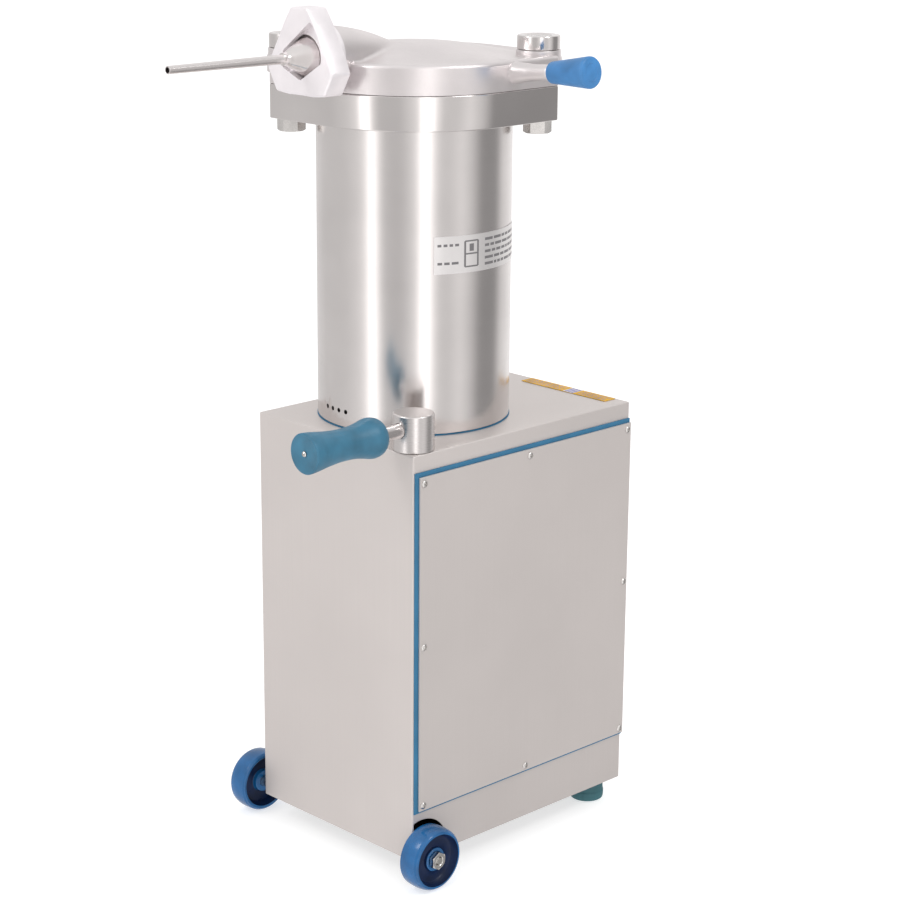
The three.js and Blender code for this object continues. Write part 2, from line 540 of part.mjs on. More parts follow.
const drive = addGroup(machine, MOTOR.x, MOTOR.y, 0);
const shaftHole = MOTOR.shaft + 0.4;
const pump = ring([[shaftHole, TANK.top - GAP], [45, TANK.top - GAP], [45, TANK.top - 9],
  [24, TANK.top - 12], [24, 165], [34, 160], [34, 112], [shaftHole, 112]], ROUND.medium);
addPart(drive, "pump", pump, steel());
const motor = turned([[shaftHole, lidTop + GAP], [58, lidTop + GAP], [58, lidTop + 10], [44, lidTop + 14],
  [MOTOR.radius, lidTop + 26], [MOTOR.radius, MOTOR.top - 34], [MOTOR.radius - 6, MOTOR.top - 32],
  [MOTOR.radius - 4, MOTOR.top - 8], [40, MOTOR.top], [0, MOTOR.top], [0, MOTOR.top - 14],
  [shaftHole, MOTOR.top - 14], [shaftHole, lidTop + GAP]], ROUND.medium);
addPart(drive, "motor", motor, painted());
addPart(drive, "motor_shaft", rod(MOTOR.shaft, 116, MOTOR.top - 20, ROUND.small), steel());

// A pipe with rounded corners through the given points.
function pipe(points, radius, bend) {
  const path = new THREE.CurvePath();
  const corner = points.map((p) => new THREE.Vector3(...p));
  let last = corner[0];
  for (let i = 1; i < corner.length - 1; i += 1) {
    const into = corner[i].clone().sub(corner[i - 1]).normalize().multiplyScalar(bend);
    const out = corner[i + 1].clone().sub(corner[i]).normalize().multiplyScalar(bend);
    const start = corner[i].clone().sub(into);
    const end = corner[i].clone().add(out);
    path.add(new THREE.LineCurve3(last, start));
    path.add(new THREE.QuadraticBezierCurve3(start, corner[i], end));
    last = end;
  }
  path.add(new THREE.LineCurve3(last, corner[corner.length - 1]));
  const section = new THREE.Shape().absarc(0, 0, radius, 0, 2 * Math.PI);
  const steps = Math.ceil(path.getLength() / 36);
  return new THREE.ExtrudeGeometry(section, { extrudePath: path, steps, curveSegments: 4 });
}
addPart(machine, "pressure_pipe", pipe([[92, 70, lidTop + GAP], [92, 70, 505], [70, -60, 505],
  [70, VALVE.y + VALVE.depth + GAP, 505]], 6, 24), steel());
addPart(machine, "ram_pipe", pipe([[40, VALVE.y + 22, VALVE.z - GAP], [40, VALVE.y + 22, 86],
  [BARREL.x, VALVE.y + 22, 86], [BARREL.x, BARREL.y - RAM.outer - 1, 86]], 6, 20), steel());

addPart(machine, "electrical_box", cut(block(-137.5, -92, 10, 120, 290, 410),
  block(-89, -94, 16, 114, 296, 404)), painted());
const glandBody = ring([[4.5, -9], [8, -9], [8, GAP], [12, GAP], [12, 6], [10, 8], [10, 14], [7, 18],
  [4.5, 18]], ROUND.small);
addPart(machine, "cable_gland", glandBody, finish(0x2b2d30, 0.6, 0), [GLAND.x, halfDepth, GLAND.z],
  [-Math.PI / 2, 0, 0]);

// ---- Origin: the middle of the whole machine's footprint, on the floor --------------------------
const extent = new THREE.Box3().setFromObject(machine, true);
const middle = extent.getCenter(new THREE.Vector3());
machine.position.set(-middle.x, -middle.y, -extent.min.z);

export default machine;
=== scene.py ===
"""Looks for a hydraulic sausage stuffer: surfaces, materials, light and camera on the fixed frame."""
import math
import random

import bmesh
import bpy
from mathutils import Matrix, Vector


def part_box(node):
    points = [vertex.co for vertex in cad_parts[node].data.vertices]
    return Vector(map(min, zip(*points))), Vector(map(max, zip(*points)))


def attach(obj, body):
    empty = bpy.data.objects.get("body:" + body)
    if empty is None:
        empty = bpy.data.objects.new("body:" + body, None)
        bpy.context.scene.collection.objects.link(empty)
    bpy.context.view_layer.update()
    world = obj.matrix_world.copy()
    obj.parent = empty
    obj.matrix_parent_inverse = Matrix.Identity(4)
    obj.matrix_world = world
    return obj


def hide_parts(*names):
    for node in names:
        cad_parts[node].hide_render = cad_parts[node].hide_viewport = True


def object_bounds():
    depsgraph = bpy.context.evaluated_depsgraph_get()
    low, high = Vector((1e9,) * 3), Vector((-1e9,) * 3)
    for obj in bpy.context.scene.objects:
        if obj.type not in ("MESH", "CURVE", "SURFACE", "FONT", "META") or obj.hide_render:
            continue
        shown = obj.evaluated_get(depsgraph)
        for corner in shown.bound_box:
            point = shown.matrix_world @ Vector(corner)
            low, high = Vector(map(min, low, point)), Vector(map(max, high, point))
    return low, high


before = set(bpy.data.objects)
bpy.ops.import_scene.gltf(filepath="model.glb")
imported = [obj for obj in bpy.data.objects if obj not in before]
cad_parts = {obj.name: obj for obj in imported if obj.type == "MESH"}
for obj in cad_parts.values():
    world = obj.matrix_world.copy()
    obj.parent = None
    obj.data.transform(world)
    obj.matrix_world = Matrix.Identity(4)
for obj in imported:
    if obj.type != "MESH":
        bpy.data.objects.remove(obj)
cad_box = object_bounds()
random.seed(15)

MM = 0.001
TO_METRES = Matrix.Scale(MM, 4)
ALONG_X = Matrix.Rotation(math.pi / 2, 4, "Y")  # +Z becomes +X
ALONG_FRONT = Matrix.Rotation(math.pi / 2, 4, "X")  # +Z becomes -Y
SHEET = 2.0  # thickness of the cabinet's sheet
FIT = 0.3  # clearance between neighbours
PAST = 5.0  # how far a cutting tool runs past what it cuts


# ---- Places in millimetres, from the frame where it holds them ----------------------------------
def extent(node):
    low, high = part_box(node)
    return low / MM, high / MM


def middle(node):
    low, high = extent(node)
    return (low + high) / 2


def at(x, y, z):
    return Matrix.Translation((x, y, z))


BARREL = middle("barrel")
BARREL_FOOT, BARREL_MOUTH = (corner.z for corner in extent("barrel"))
BARREL_RADIUS = (extent("barrel")[1].x - extent("barrel")[0].x) / 2
FLANGE_LOW, FLANGE_HIGH = extent("flange")
FLANGE_RADIUS = (FLANGE_HIGH.x - FLANGE_LOW.x) / 2
EAR_HALF = 25.0
EAR_TIP = FLANGE_RADIUS * math.sqrt(2) - EAR_HALF
LID_FOOT = extent("lid")[0].z
LID_RIM = 35.6
LID_EAR = 40.4
DUCT_HEIGHT = 41.7
COLUMN = at(BARREL.x, BARREL.y, 0)
LID = at(BARREL.x, BARREL.y, LID_FOOT)
OUTLET = LID @ at(0, 0, DUCT_HEIGHT) @ ALONG_FRONT
POST_OFFSET = abs(middle("latch_post").x - BARREL.x)
POST_RADIUS = 10
POST_SIGNS = {"hinge_post": -1, "latch_post": 1}


def post_spot(sign):
    return at(sign * POST_OFFSET, sign * POST_OFFSET, 0)


# ---- Outlines -----------------------------------------------------------------------------------
def arc(radius, start, end, steps, centre=(0.0, 0.0)):
    """Points along a circle, with its angles in degrees."""
    angles = [math.radians(start + (end - start) * k / steps) for k in range(steps + 1)]
    return [(centre[0] + radius * math.cos(a), centre[1] + radius * math.sin(a)) for a in angles]


def filleted(corners, closed=False, steps=4):
    """Rounds the corners that carry a third number, their radius."""
    points = []
    count = len(corners)
    for i, corner in enumerate(corners):
        here = Vector(corner[:2])
        at_end = not closed and i in (0, count - 1)
        if len(corner) < 3 or at_end:
            points.append(tuple(here))
            continue
        before = Vector(corners[i - 1][:2]) - here
        after = Vector(corners[(i + 1) % count][:2]) - here
        tangent = corner[2] / math.tan(before.angle(after) / 2)
        reach = min(tangent, before.length * 0.49, after.length * 0.49)
        start = here + before.normalized() * reach
        end = here + after.normalized() * reach
        for k in range(steps + 1):
            t = k / steps
            points.append(tuple(start * (1 - t) ** 2 + here * (2 * t * (1 - t)) + end * t * t))
    return points


def flowing(points, steps=6):
    """A smooth curve through the points (Catmull-Rom)."""
    p = [Vector(q) for q in [points[0], *points, points[-1]]]
    curve = []
    for a, b, c, d in zip(p, p[1:], p[2:], p[3:]):
        for k in range(steps):
            t = k / steps
            blend = b * 2 + (c - a) * t
            blend += (a * 2 - b * 5 + c * 4 - d) * t**2
            blend += (b * 3 - a - c * 3 + d) * t**3
            curve.append(tuple(blend / 2))
    return [*curve, tuple(points[-1])]


def polygon(sides, across_flats, turn=0.0):
    radius = across_flats / 2 / math.cos(math.pi / sides)
    return arc(radius, turn, turn + 360, sides)[:-1]


def rectangle(x0, x1, y0, y1):
    return [(x0, y0), (x1, y0), (x1, y1), (x0, y1)]


def eared_outline(inset=0.0):
    """The flange's and lid's circle, with a truncated ear towards -X-Y and one towards +X+Y."""
    radius, tip = FLANGE_RADIUS - inset, EAR_TIP - inset
    half = radius * math.sqrt(2) - tip
    corners = []
    for turn in (45, 225):
        spin = Matrix.Rotation(math.radians(turn), 2)
        for side in (-1, 1):
            corners.append((*(spin @ Vector((tip, side * half))), 3.0))
        corners += arc(radius, turn + 45, turn + 135, 40)
    return filleted(corners, closed=True)


# ---- Meshes, in millimetres ---------------------------------------------------------------------
def turned(profile, sides=64, closed=False):
    """A profile of (radius, height) points turned about +Z. A closed one is a ring off the axis."""
    mesh = bmesh.new()
    rings = []
    for radius, height in profile:
        if radius < 1e-6:
            rings.append([mesh.verts.new((0, 0, height))] * sides)
        else:
            turns = [2 * math.pi * k / sides for k in range(sides)]
            spots = [(radius * math.cos(a), radius * math.sin(a), height) for a in turns]
            rings.append([mesh.verts.new(spot) for spot in spots])
    pairs = list(zip(rings, rings[1:]))
    if closed:
        pairs.append((rings[-1], rings[0]))
    for lower, upper in pairs:
        for k in range(sides):
            n = (k + 1) % sides
            corners = list(dict.fromkeys((lower[k], lower[n], upper[n], upper[k])))
            if len(corners) > 2:
                mesh.faces.new(corners)
    bmesh.ops.recalc_face_normals(mesh, faces=mesh.faces)
    return mesh


def tube(inner, outer, bottom, top, sides=64, round_off=0.0):
    corners = [(inner, bottom), (outer, bottom), (outer, top), (inner, top)]
    if round_off:
        corners = filleted([(*c, round_off) for c in corners], closed=True, steps=3)
    return turned(corners, sides, closed=True)


def rod(radius, bottom, top, sides=48):
    return turned([(0, bottom), (radius, bottom), (radius, top), (0, top)], sides)


def lofted(layers):
    """A solid through (outline, height) layers, whose outlines have as many points."""
    mesh = bmesh.new()
    rings = [[mesh.verts.new((x, y, height)) for x, y in outline] for outline, height in layers]
    mesh.faces.new(rings[0][::-1])
    mesh.faces.new(rings[-1])
    for lower, upper in zip(rings, rings[1:]):
        for k in range(len(lower)):
            n = (k + 1) % len(lower)
            mesh.faces.new((lower[k], lower[n], upper[n], upper[k]))
    bmesh.ops.recalc_face_normals(mesh, faces=mesh.faces)
    return mesh


def prism(outline, bottom, top):
    return lofted([(outline, bottom), (outline, top)])


def eared_plate(bottom, top, low_round, high_round, steps=5):
    turns = [math.pi / 2 * k / steps for k in range(steps + 1)]
    layers = [(eared_outline(low_round * (1 - math.sin(a))), bottom + low_round * (1 - math.cos(a)))
      for a in turns]
    layers += [(eared_outline(high_round * (1 - math.cos(a))), top - high_round * (1 - math.sin(a)))
      for a in turns]
    return lofted(layers)


def box(low, high):
    return prism(rectangle(low[0], high[0], low[1], high[1]), low[2], high[2])


def moved(mesh, *matrices):
    for matrix in matrices:
        mesh.transform(matrix)
    return mesh


def round_edges(mesh, radius, wanted, segments=3):
    """Rounds the edges for which wanted(first end, second end) is true."""
    edges = [e for e in mesh.edges if wanted(e.verts[0].co, e.verts[1].co)]
    bmesh.ops.bevel(mesh, geom=edges, offset=radius, segments=segments, profile=0.5, affect="EDGES")
    return mesh


def at_height(z):
    """Tells round_edges to take the edges at this height."""
    return lambda a, b: abs(a.z - z) < 1e-4 and abs(b.z - z) < 1e-4


def as_data(name, mesh):
    """Turns a mesh that was being built into mesh data, and frees it."""
    data = bpy.data.meshes.new(name)
    mesh.to_mesh(data)
    mesh.free()
    return data


def linked(name, data):
    """A new object in the scene."""
    held = bpy.data.objects.new(name, data)
    bpy.context.scene.collection.objects.link(held)
    return held


def scratch_object(mesh):
    return linked("scratch", as_data("scratch", mesh))


def result_of(held):
    """The mesh of a scratch object with its modifiers applied."""
    graph = bpy.context.evaluated_depsgraph_get()
    data = bpy.data.meshes.new_from_object(held.evaluated_get(graph))
    mesh = bmesh.new()
    mesh.from_mesh(data)
    bpy.data.meshes.remove(data)
    return mesh


def combined(body, joins=(), cuts=(), commons=()):
    """Joins, cuts and intersects closed meshes, exactly."""
    host = scratch_object(body)
    tools = []
    for operation, meshes in (("UNION", joins), ("DIFFERENCE", cuts), ("INTERSECT", commons)):
        for mesh in meshes:
            tools.append(scratch_object(mesh))
            step = host.modifiers.new(operation, "BOOLEAN")
            step.operation = operation
            step.solver = "EXACT"
            step.object = tools[-1]
    mesh = result_of(host)
    for held in [host, *tools]:
        bpy.data.objects.remove(held)
    bmesh.ops.remove_doubles(mesh, verts=mesh.verts, dist=1e-4)
    return mesh


def add_to(host, mesh):
    """Moves a mesh into another."""
    data = as_data("scratch", mesh)
    host.from_mesh(data)
    bpy.data.meshes.remove(data)


def melted(meshes, voxel, rounds):
    """One skin over overlapping meshes, with their inner corners run together as in a casting."""
    host = bmesh.new()
    for mesh in meshes:
        add_to(host, mesh)
    held = scratch_object(host)
    remesh = held.modifiers.new("skin", "REMESH")
    remesh.mode = "VOXEL"
    remesh.voxel_size = voxel
    soften = held.modifiers.new("soften", "SMOOTH")
    soften.factor = 0.5
    soften.iterations = rounds
    mesh = result_of(held)
    bpy.data.objects.remove(held)
    return mesh


# ---- Materials ----------------------------------------------------------------------------------
class Finish:
    """A Principled material with nodes for colour variation, roughness and a fine surface."""

    def __init__(self, name, metallic=0.0, **constants):
        self.material = bpy.data.materials.new(name)
        self.material.use_nodes = True
        self.tree = self.material.node_tree
        self.shader = self.tree.nodes["Principled BSDF"]
        self.shader.inputs["Metallic"].default_value = metallic
        for socket, value in constants.items():
            self.shader.inputs[socket.replace("_", " ")].default_value = value
        self.place = self.tree.nodes.new("ShaderNodeTexCoord").outputs["Object"]

    def link(self, source, target):
        self.tree.links.new(source, target)

    def noise(self, scale, detail=2.0, stretch=(1, 1, 1), roughness=0.5):
        mapping = self.tree.nodes.new("ShaderNodeMapping")
        mapping.inputs["Scale"].default_value = stretch
        texture = self.tree.nodes.new("ShaderNodeTexNoise")
        texture.inputs["Scale"].default_value = scale
        texture.inputs["Detail"].default_value = detail
        texture.inputs["Roughness"].default_value = roughness
        self.link(self.place, mapping.inputs["Vector"])
        self.link(mapping.outputs["Vector"], texture.inputs["Vector"])
        return texture.outputs["Fac"]

    def ramp(self, source, stops):
        node = self.tree.nodes.new("ShaderNodeValToRGB")
        elements = node.color_ramp.elements
        for k, (position, color) in enumerate(stops):
            element = elements[k] if k < 2 else elements.new(position)
            element.position = position
            element.color = (*color, 1)
        self.link(source, node.inputs["Fac"])
        return node.outputs["Color"]

    def mixed(self, factor, first, second):
        node = self.tree.nodes.new("ShaderNodeMix")
        node.data_type = "RGBA"
        for value, socket in ((factor, node.inputs[0]), (first, node.inputs[6]), (second, node.inputs[7])):
            if isinstance(value, bpy.types.NodeSocket):
                self.link(value, socket)
            else:
                socket.default_value = value if socket == node.inputs[0] else (*value, 1)
        return node.outputs[2]

    def scaled(self, source, low, high):
        node = self.tree.nodes.new("ShaderNodeMapRange")
        node.inputs["From Min"].default_value = 0.3
        node.inputs["From Max"].default_value = 0.7
        node.inputs["To Min"].default_value = low
        node.inputs["To Max"].default_value = high
        self.link(source, node.inputs["Value"])
        return node.outputs["Result"]

    def color(self, source):
        self.link(source, self.shader.inputs["Base Color"])

    def roughness(self, source, low, high):
        self.link(self.scaled(source, low, high), self.shader.inputs["Roughness"])

    def bump(self, source, strength, distance):
        node = self.tree.nodes.new("ShaderNodeBump")
        node.inputs["Strength"].default_value = strength
        node.inputs["Distance"].default_value = distance
        self.link(source, node.inputs["Height"])
        previous = self.shader.inputs["Normal"].links
        if previous:
            self.link(previous[0].from_socket, node.inputs["Normal"])
        self.link(node.outputs["Normal"], self.shader.inputs["Normal"])


def metal(name, color, rough, grain, grain_bump=0.04, cloud=9.0, spread=0.05, metallic=1.0):
    """Metal with tool marks: grain is how much finer the marks are along X, Y and Z."""
    finish = Finish(name, metallic)
    marks = finish.noise(1.0, detail=3.0, stretch=grain, roughness=0.62)
    clouds = finish.noise(cloud, detail=3.0)
    dark = tuple(c * (1 - spread) for c in color)
    bright = tuple(min(1.0, c * (1 + spread)) for c in color)
    tone = finish.ramp(clouds, [(0.32, dark), (0.68, bright)])
    finish.color(finish.mixed(finish.scaled(marks, 0.0, 0.22), tone, dark))
    finish.roughness(marks, rough * 0.85, rough * 1.2)
    finish.bump(marks, grain_bump, 0.0004)
    return finish.material


def moulded(name, color, rough, mottle=0.25, grain=900.0, grain_bump=0.18, coat=0.0, specular=0.5):
    """Moulded plastic or rubber: mottled colour, a fine pebbled skin and dull scuffs."""
    finish = Finish(name, Coat_Weight=coat, Coat_Roughness=0.12, Specular_IOR_Level=specular)
    clouds = finish.noise(34.0, detail=4.0)
    pebbles = finish.noise(grain, detail=2.0)
    scuffs = finish.noise(14.0, detail=6.0, roughness=0.7)
    dark = tuple(c * (1 - mottle) for c in color)
    bright = tuple(min(1.0, c * (1 + mottle)) for c in color)
    tone = finish.ramp(clouds, [(0.3, dark), (0.7, bright)])
    worn = tuple(c * 0.85 + 0.02 for c in color)
    finish.color(finish.mixed(finish.scaled(scuffs, 0.0, 0.3), tone, worn))
    finish.roughness(scuffs, rough * 0.85, rough * 1.25)
    finish.bump(pebbles, grain_bump, 0.0003)
    return finish.material


TURNED_Z = (3, 3, 1400)
TURNED_Y = (3, 1400, 3)
TURNED_X = (1400, 3, 3)
BRUSHED_UP = (900, 900, 4)
EVERY_WAY = (420, 420, 420)

SHEET_STEEL = metal("satin_sheet", (0.645, 0.60, 0.58), 0.40, BRUSHED_UP, 0.03, 5.0, 0.03, metallic=0.45)
BARREL_STEEL = metal("polished_barrel_steel", (0.76, 0.73, 0.72), 0.22, TURNED_Z, 0.02)
FLANGE_STEEL = metal("turned_flange_steel", (0.74, 0.71, 0.70), 0.15, TURNED_Z, 0.012)
NOZZLE_STEEL = metal("polished_nozzle_steel", (0.78, 0.74, 0.73), 0.2, TURNED_Y, 0.03)
CAST = metal("ground_casting", (0.74, 0.70, 0.70), 0.34, EVERY_WAY, 0.08, 16.0, 0.05, metallic=0.8)
NUT_CAST = metal("peened_nut_casting", (0.90, 0.86, 0.88), 0.36, EVERY_WAY, 0.12, 30.0, 0.05, metallic=0.5)
HUB_STEEL = metal("satin_hub_steel", (0.72, 0.69, 0.68), 0.3, TURNED_Z, 0.04)
FASTENER = metal("machined_fastener", (0.74, 0.72, 0.70), 0.24, EVERY_WAY, 0.05, cloud=60.0, spread=0.1)
AXLE_STEEL = metal("turned_axle_steel", (0.62, 0.61, 0.58), 0.28, TURNED_X, 0.05)
PLAIN_STEEL = metal("plain_machine_steel", (0.30, 0.31, 0.32), 0.45, EVERY_WAY, 0.1, 20.0, 0.2)
PAINTED = moulded("painted_steel", (0.07, 0.14, 0.21), 0.42, 0.1, 500.0, 0.08, coat=0.3)
GRIP_BLUE = moulded("lid_grip_plastic", (0.045, 0.20, 0.46), 0.42)
GRIP_TEAL = moulded("lever_grip_plastic", (0.033, 0.155, 0.25), 0.42)
WHEEL_BLUE = moulded("wheel_nylon", (0.006, 0.105, 0.29), 0.24, 0.35, 420.0, 0.3, coat=0.2)
# The dish's navy is painted shade: the wheel's own blue nylon, darkened where the dish lies in recess.
WHEEL_DISH_SHADE = moulded("wheel_dish_painted_shade", (0.002, 0.014, 0.06), 0.3, 0.5, 420.0, 0.3, specular=0.25)
GASKET = moulded("gasket_rubber", (0.024, 0.16, 0.30), 0.55, mottle=0.12, grain=600.0, grain_bump=0.12)
FOOT_RUBBER = moulded("foot_rubber", (0.035, 0.14, 0.165), 0.6, mottle=0.2, grain=500.0, grain_bump=0.2)
BLACK = moulded("black_polyamide", (0.02, 0.02, 0.022), 0.45, mottle=0.1)
LABEL_FILM = metal("silver_label_film", (0.78, 0.76, 0.755), 0.34, EVERY_WAY, 0.02, 12.0, 0.04, metallic=0.7)
LABEL_INK = moulded("dark_label_ink", (0.15, 0.145, 0.15), 0.4, mottle=0.1, grain=300.0, grain_bump=0.02)
LABEL_YELLOW = moulded("amber_label_film", (0.78, 0.44, 0.03), 0.6, 0.25, 300.0, 0.03)
LABEL_LILAC = moulded("lilac_label_ink", (0.22, 0.22, 0.55), 0.5, 0.1, 300.0, 0.02)


# ---- Pieces -------------------------------------------------------------------------------------
def piece(name, mesh, material, body, nodes=(), place=Matrix(), edge=0.0, sharp=32):
    """Adds a mesh given in millimetres as a piece that rides on body and stands for the CAD nodes."""
    mesh.transform(TO_METRES @ place)
    for face in mesh.faces:
        face.smooth = True
    data = as_data(name, mesh)
    data.set_sharp_from_angle(angle=math.radians(sharp))
    data.materials.append(material)
    made = linked(name, data)
    if edge:
        soften = made.modifiers.new("edges", "BEVEL")
        soften.width = edge * MM
        soften.segments = 2
        soften.limit_method = "ANGLE"
        soften.angle_limit = math.radians(40)
        soften.harden_normals = True
    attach(made, body)
    if nodes:
        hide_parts(*nodes)
    return made


SCREW_SHANK, SCREW_BORE, SCREW_LENGTH = 2.0, 2.4, 8.0


def cabinet():
    low, high = extent("cabinet_shell")
    panel_low, panel_high = extent("service_panel")
    seal_low, seal_high = extent("panel_gasket")
    wheel, spindle, gland_spot = middle("wheel_right"), middle("lever_spindle"), middle("cable_gland")
    ram_hole, spindle_hole, gland_hole = 24, 9.5, 8.4
    edge_round, rim = 1.9, 24.0
    arch_radius, arch_front = 44.0, low.y + SHEET
    seal_shows, panel_covers = 0.8, 1.8
    outer = round_edges(box(low, high), edge_round, lambda a, b: a.z > low.z + 1 or b.z > low.z + 1, 4)
    inner_low = (low.x + SHEET, low.y + SHEET, low.z - PAST)
    inner = box(inner_low, high - Vector((SHEET, SHEET, SHEET)))
    window = box((high.x - PAST, seal_low.y + rim, panel_low.z + rim),
      (high.x + PAST, panel_high.y - rim, panel_high.z - rim))
    arches = []
    for x in (low.x, high.x):
        disc = moved(rod(arch_radius, -PAST, PAST, 96), ALONG_X, at(x, wheel.y, wheel.z))
        front = box((x - PAST - 1, arch_front - 60, 0), (x + PAST + 1, arch_front, 200))
        arches.append(combined(disc, cuts=[front]))
    above, below = high.z + 10, high.z - 10
    holes = [
        moved(rod(ram_hole, below, above), COLUMN),
        moved(rod(spindle_hole, below, above), at(spindle.x, spindle.y, 0)),
        moved(rod(gland_hole, -PAST, PAST), ALONG_FRONT, at(gland_spot.x, high.y, gland_spot.z)),
    ]
    shell = combined(outer, cuts=[inner, window, *arches, *holes])
    piece("cabinet_sheet", shell, SHEET_STEEL, "machine_frame", ["cabinet_shell"])

    opening = box((seal_low.x - PAST, seal_low.y + rim, panel_low.z + rim),
      (seal_high.x + PAST, panel_high.y - rim, panel_high.z - rim))
    frame_seal = combined(box(seal_low - Vector((0, 0, seal_shows)), seal_high), cuts=[opening])
    piece("panel_seal_strip", frame_seal, GASKET, "machine_frame", ["panel_gasket"], edge=0.2)
    cover = box(panel_low - Vector((0, panel_covers, 0)), panel_high)
    screws = [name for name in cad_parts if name.startswith("panel_screw_")]
    bores = []
    for name in screws:
        spot = middle(name)
        bore = rod(SCREW_BORE, -SCREW_LENGTH, SCREW_LENGTH, 24)
        bores.append(moved(bore, ALONG_X, at(panel_low.x, spot.y, spot.z)))
    piece("panel_cover", combined(cover, cuts=bores), SHEET_STEEL, "machine_frame", ["service_panel"],
      edge=0.35)
    for name in screws:
        screw(name, panel_high.x)


def cross_recess(reach, half, bottom, top):
    """The two crossed slots of a screw's head."""
    return [box((-x, -y, bottom), (x, y, top)) for x, y in ((reach, half), (half, reach))]


def screw(node, surface):
    """A pan head with a cross recess, on a plain shank."""
    spot = middle(node)
    head, head_foot, rise = 4.6, 0.5, 2.2
    shank = [(0, -SCREW_LENGTH), (SCREW_SHANK, -SCREW_LENGTH), (SCREW_SHANK, 0.02), (4.4, 0.02)]
    tilts = [math.radians(a) for a in range(0, 90, 15)]
    crown = [(head * math.cos(a), head_foot + rise * math.sin(a)) for a in tilts]
    body = turned([*shank, *crown, (0, head_foot + rise)], 32)
    slots = cross_recess(2.7, 0.55, 1.3, 4)
    turn = Matrix.Rotation(random.uniform(0, math.pi / 2), 4, "Z")
    place = at(surface, spot.y, spot.z) @ ALONG_X @ turn
    piece(f"{node}_head", combined(body, cuts=slots), FASTENER, "machine_frame", [node],
      place)


def barrel():
    wall, seat, floor_top = 114.0, 20.4, BARREL_FOOT + 12
    skirt, lip = BARREL_RADIUS - 4, BARREL_FOOT - 1.7
    drain_radius, drain_height = 2.8, BARREL_FOOT + 17.9
    profile = filleted([(seat, BARREL_FOOT), (skirt, BARREL_FOOT), (skirt, lip), (BARREL_RADIUS, lip, 1.2),
      (BARREL_RADIUS, BARREL_MOUTH, 0.6), (wall + 1, BARREL_MOUTH, 0.6), (wall, BARREL_MOUTH - 2, 0.5),
      (wall, floor_top, 6), (seat, floor_top)])
    drains = []
    for degrees in (-105, -99, -93, -87):
        drill = rod(drain_radius, wall - PAST, BARREL_RADIUS + PAST, 24)
        turn = Matrix.Rotation(math.radians(degrees), 4, "Z")
        drains.append(moved(drill, ALONG_X, at(0, 0, drain_height), turn))
    body = combined(turned(profile, 160, closed=True), cuts=drains)
    piece("filling_barrel", body, BARREL_STEEL, "machine_frame", ["barrel"], COLUMN)
    low, high = extent("barrel_gasket")
    inner, outer = 26, (high.x - low.x) / 2 - 0.8
    ring = turned([(inner, low.z), (outer, low.z), (outer, lip - FIT), (skirt - FIT, lip - FIT),
      (skirt - FIT, high.z), (inner, high.z)], 128, closed=True)
    piece("barrel_foot_seal", ring, GASKET, "machine_frame", ["barrel_gasket"], COLUMN)


def flange():
    bottom, top = FLANGE_LOW.z, FLANGE_HIGH.z
    seal_inner, seal_outer, groove_depth = 122, 127, 3.5
    plate = eared_plate(bottom, top, 1.4, 1.4)
    cuts = [rod(BARREL_RADIUS + FIT, bottom - PAST, top + PAST, 160),
      tube(seal_inner, seal_outer, top - groove_depth, top + PAST, 128)]
    for sign in POST_SIGNS.values():
        cuts.append(moved(rod(POST_RADIUS + FIT, bottom - PAST, top + PAST), post_spot(sign)))
    piece("mouth_flange", combined(plate, cuts=cuts), FLANGE_STEEL, "machine_frame", ["flange"],
      COLUMN)
    low, high = extent("lid_seal")
    ring = tube(seal_inner + FIT, seal_outer - FIT, low.z, high.z, 128, 1.0)
    piece("mouth_seal", ring, GASKET, "machine_frame", ["lid_seal"], COLUMN)


def hex_nut(across_flats, bottom, top, bore, turn=0.0):
    """A hexagon with turned chamfers on its corners and a chamfered bore."""
    corner, face = across_flats / math.sqrt(3), across_flats / 2 - 0.4
    slope = (corner - across_flats / 2) * 0.75
    turning = turned([(0, bottom), (face, bottom), (corner + 0.3, bottom + slope),
      (corner + 0.3, top - slope), (face, top), (0, top)], 96)
    bar = prism(polygon(6, across_flats, turn), bottom - 1, top + 1)
    hole = turned([(0, bottom - 1), (bore + 2, bottom - 1), (bore, bottom + 1), (bore, top - 1),
      (bore + 2, top + 1), (0, top + 1)], 48)
    return combined(bar, commons=[turning], cuts=[hole])


def threaded(radius, bottom, top, pitch, depth):
    """A profile of ring-like thread crests between two heights."""
    count = int((top - bottom) / pitch)
    points = []
    for k in range(count):
        z = bottom + k * pitch
        points += [(radius, z + pitch * 0.15), (radius, z + pitch * 0.4),
          (radius - depth, z + pitch * 0.75)]
    return [(radius, bottom), *points, (radius - depth, bottom + count * pitch)]


def posts():
    for node, sign in POST_SIGNS.items():
        top = extent(node)[1].z
        nut_low, nut_high = extent(f"{node}_nut")
        place = COLUMN @ post_spot(sign)
        end, head_foot, head_radius = nut_low.z + 0.6, top - 16.7, 26
        thread = threaded(POST_RADIUS, end + 1.5, FLANGE_LOW.z - 1, 2.5, 1.2)
        head = filleted([(POST_RADIUS, head_foot), (head_radius, head_foot, 1.0), (head_radius, top, 2.2),
          (14, top), (12, top - 1.2), (0, top - 1.2)], steps=5)
        profile = [(0, end), (8.5, end), *thread, (POST_RADIUS, FLANGE_LOW.z), *head]
        piece(f"{node}_turned", turned(profile, 96), FLANGE_STEEL, "machine_frame", [node],
          place, sharp=40)
        nut = hex_nut(30, nut_low.z, nut_high.z, POST_RADIUS + FIT, turn=45)
        piece(f"{node}_hex_nut", nut, FASTENER, "machine_frame", [f"{node}_nut"], place,
          sharp=25)


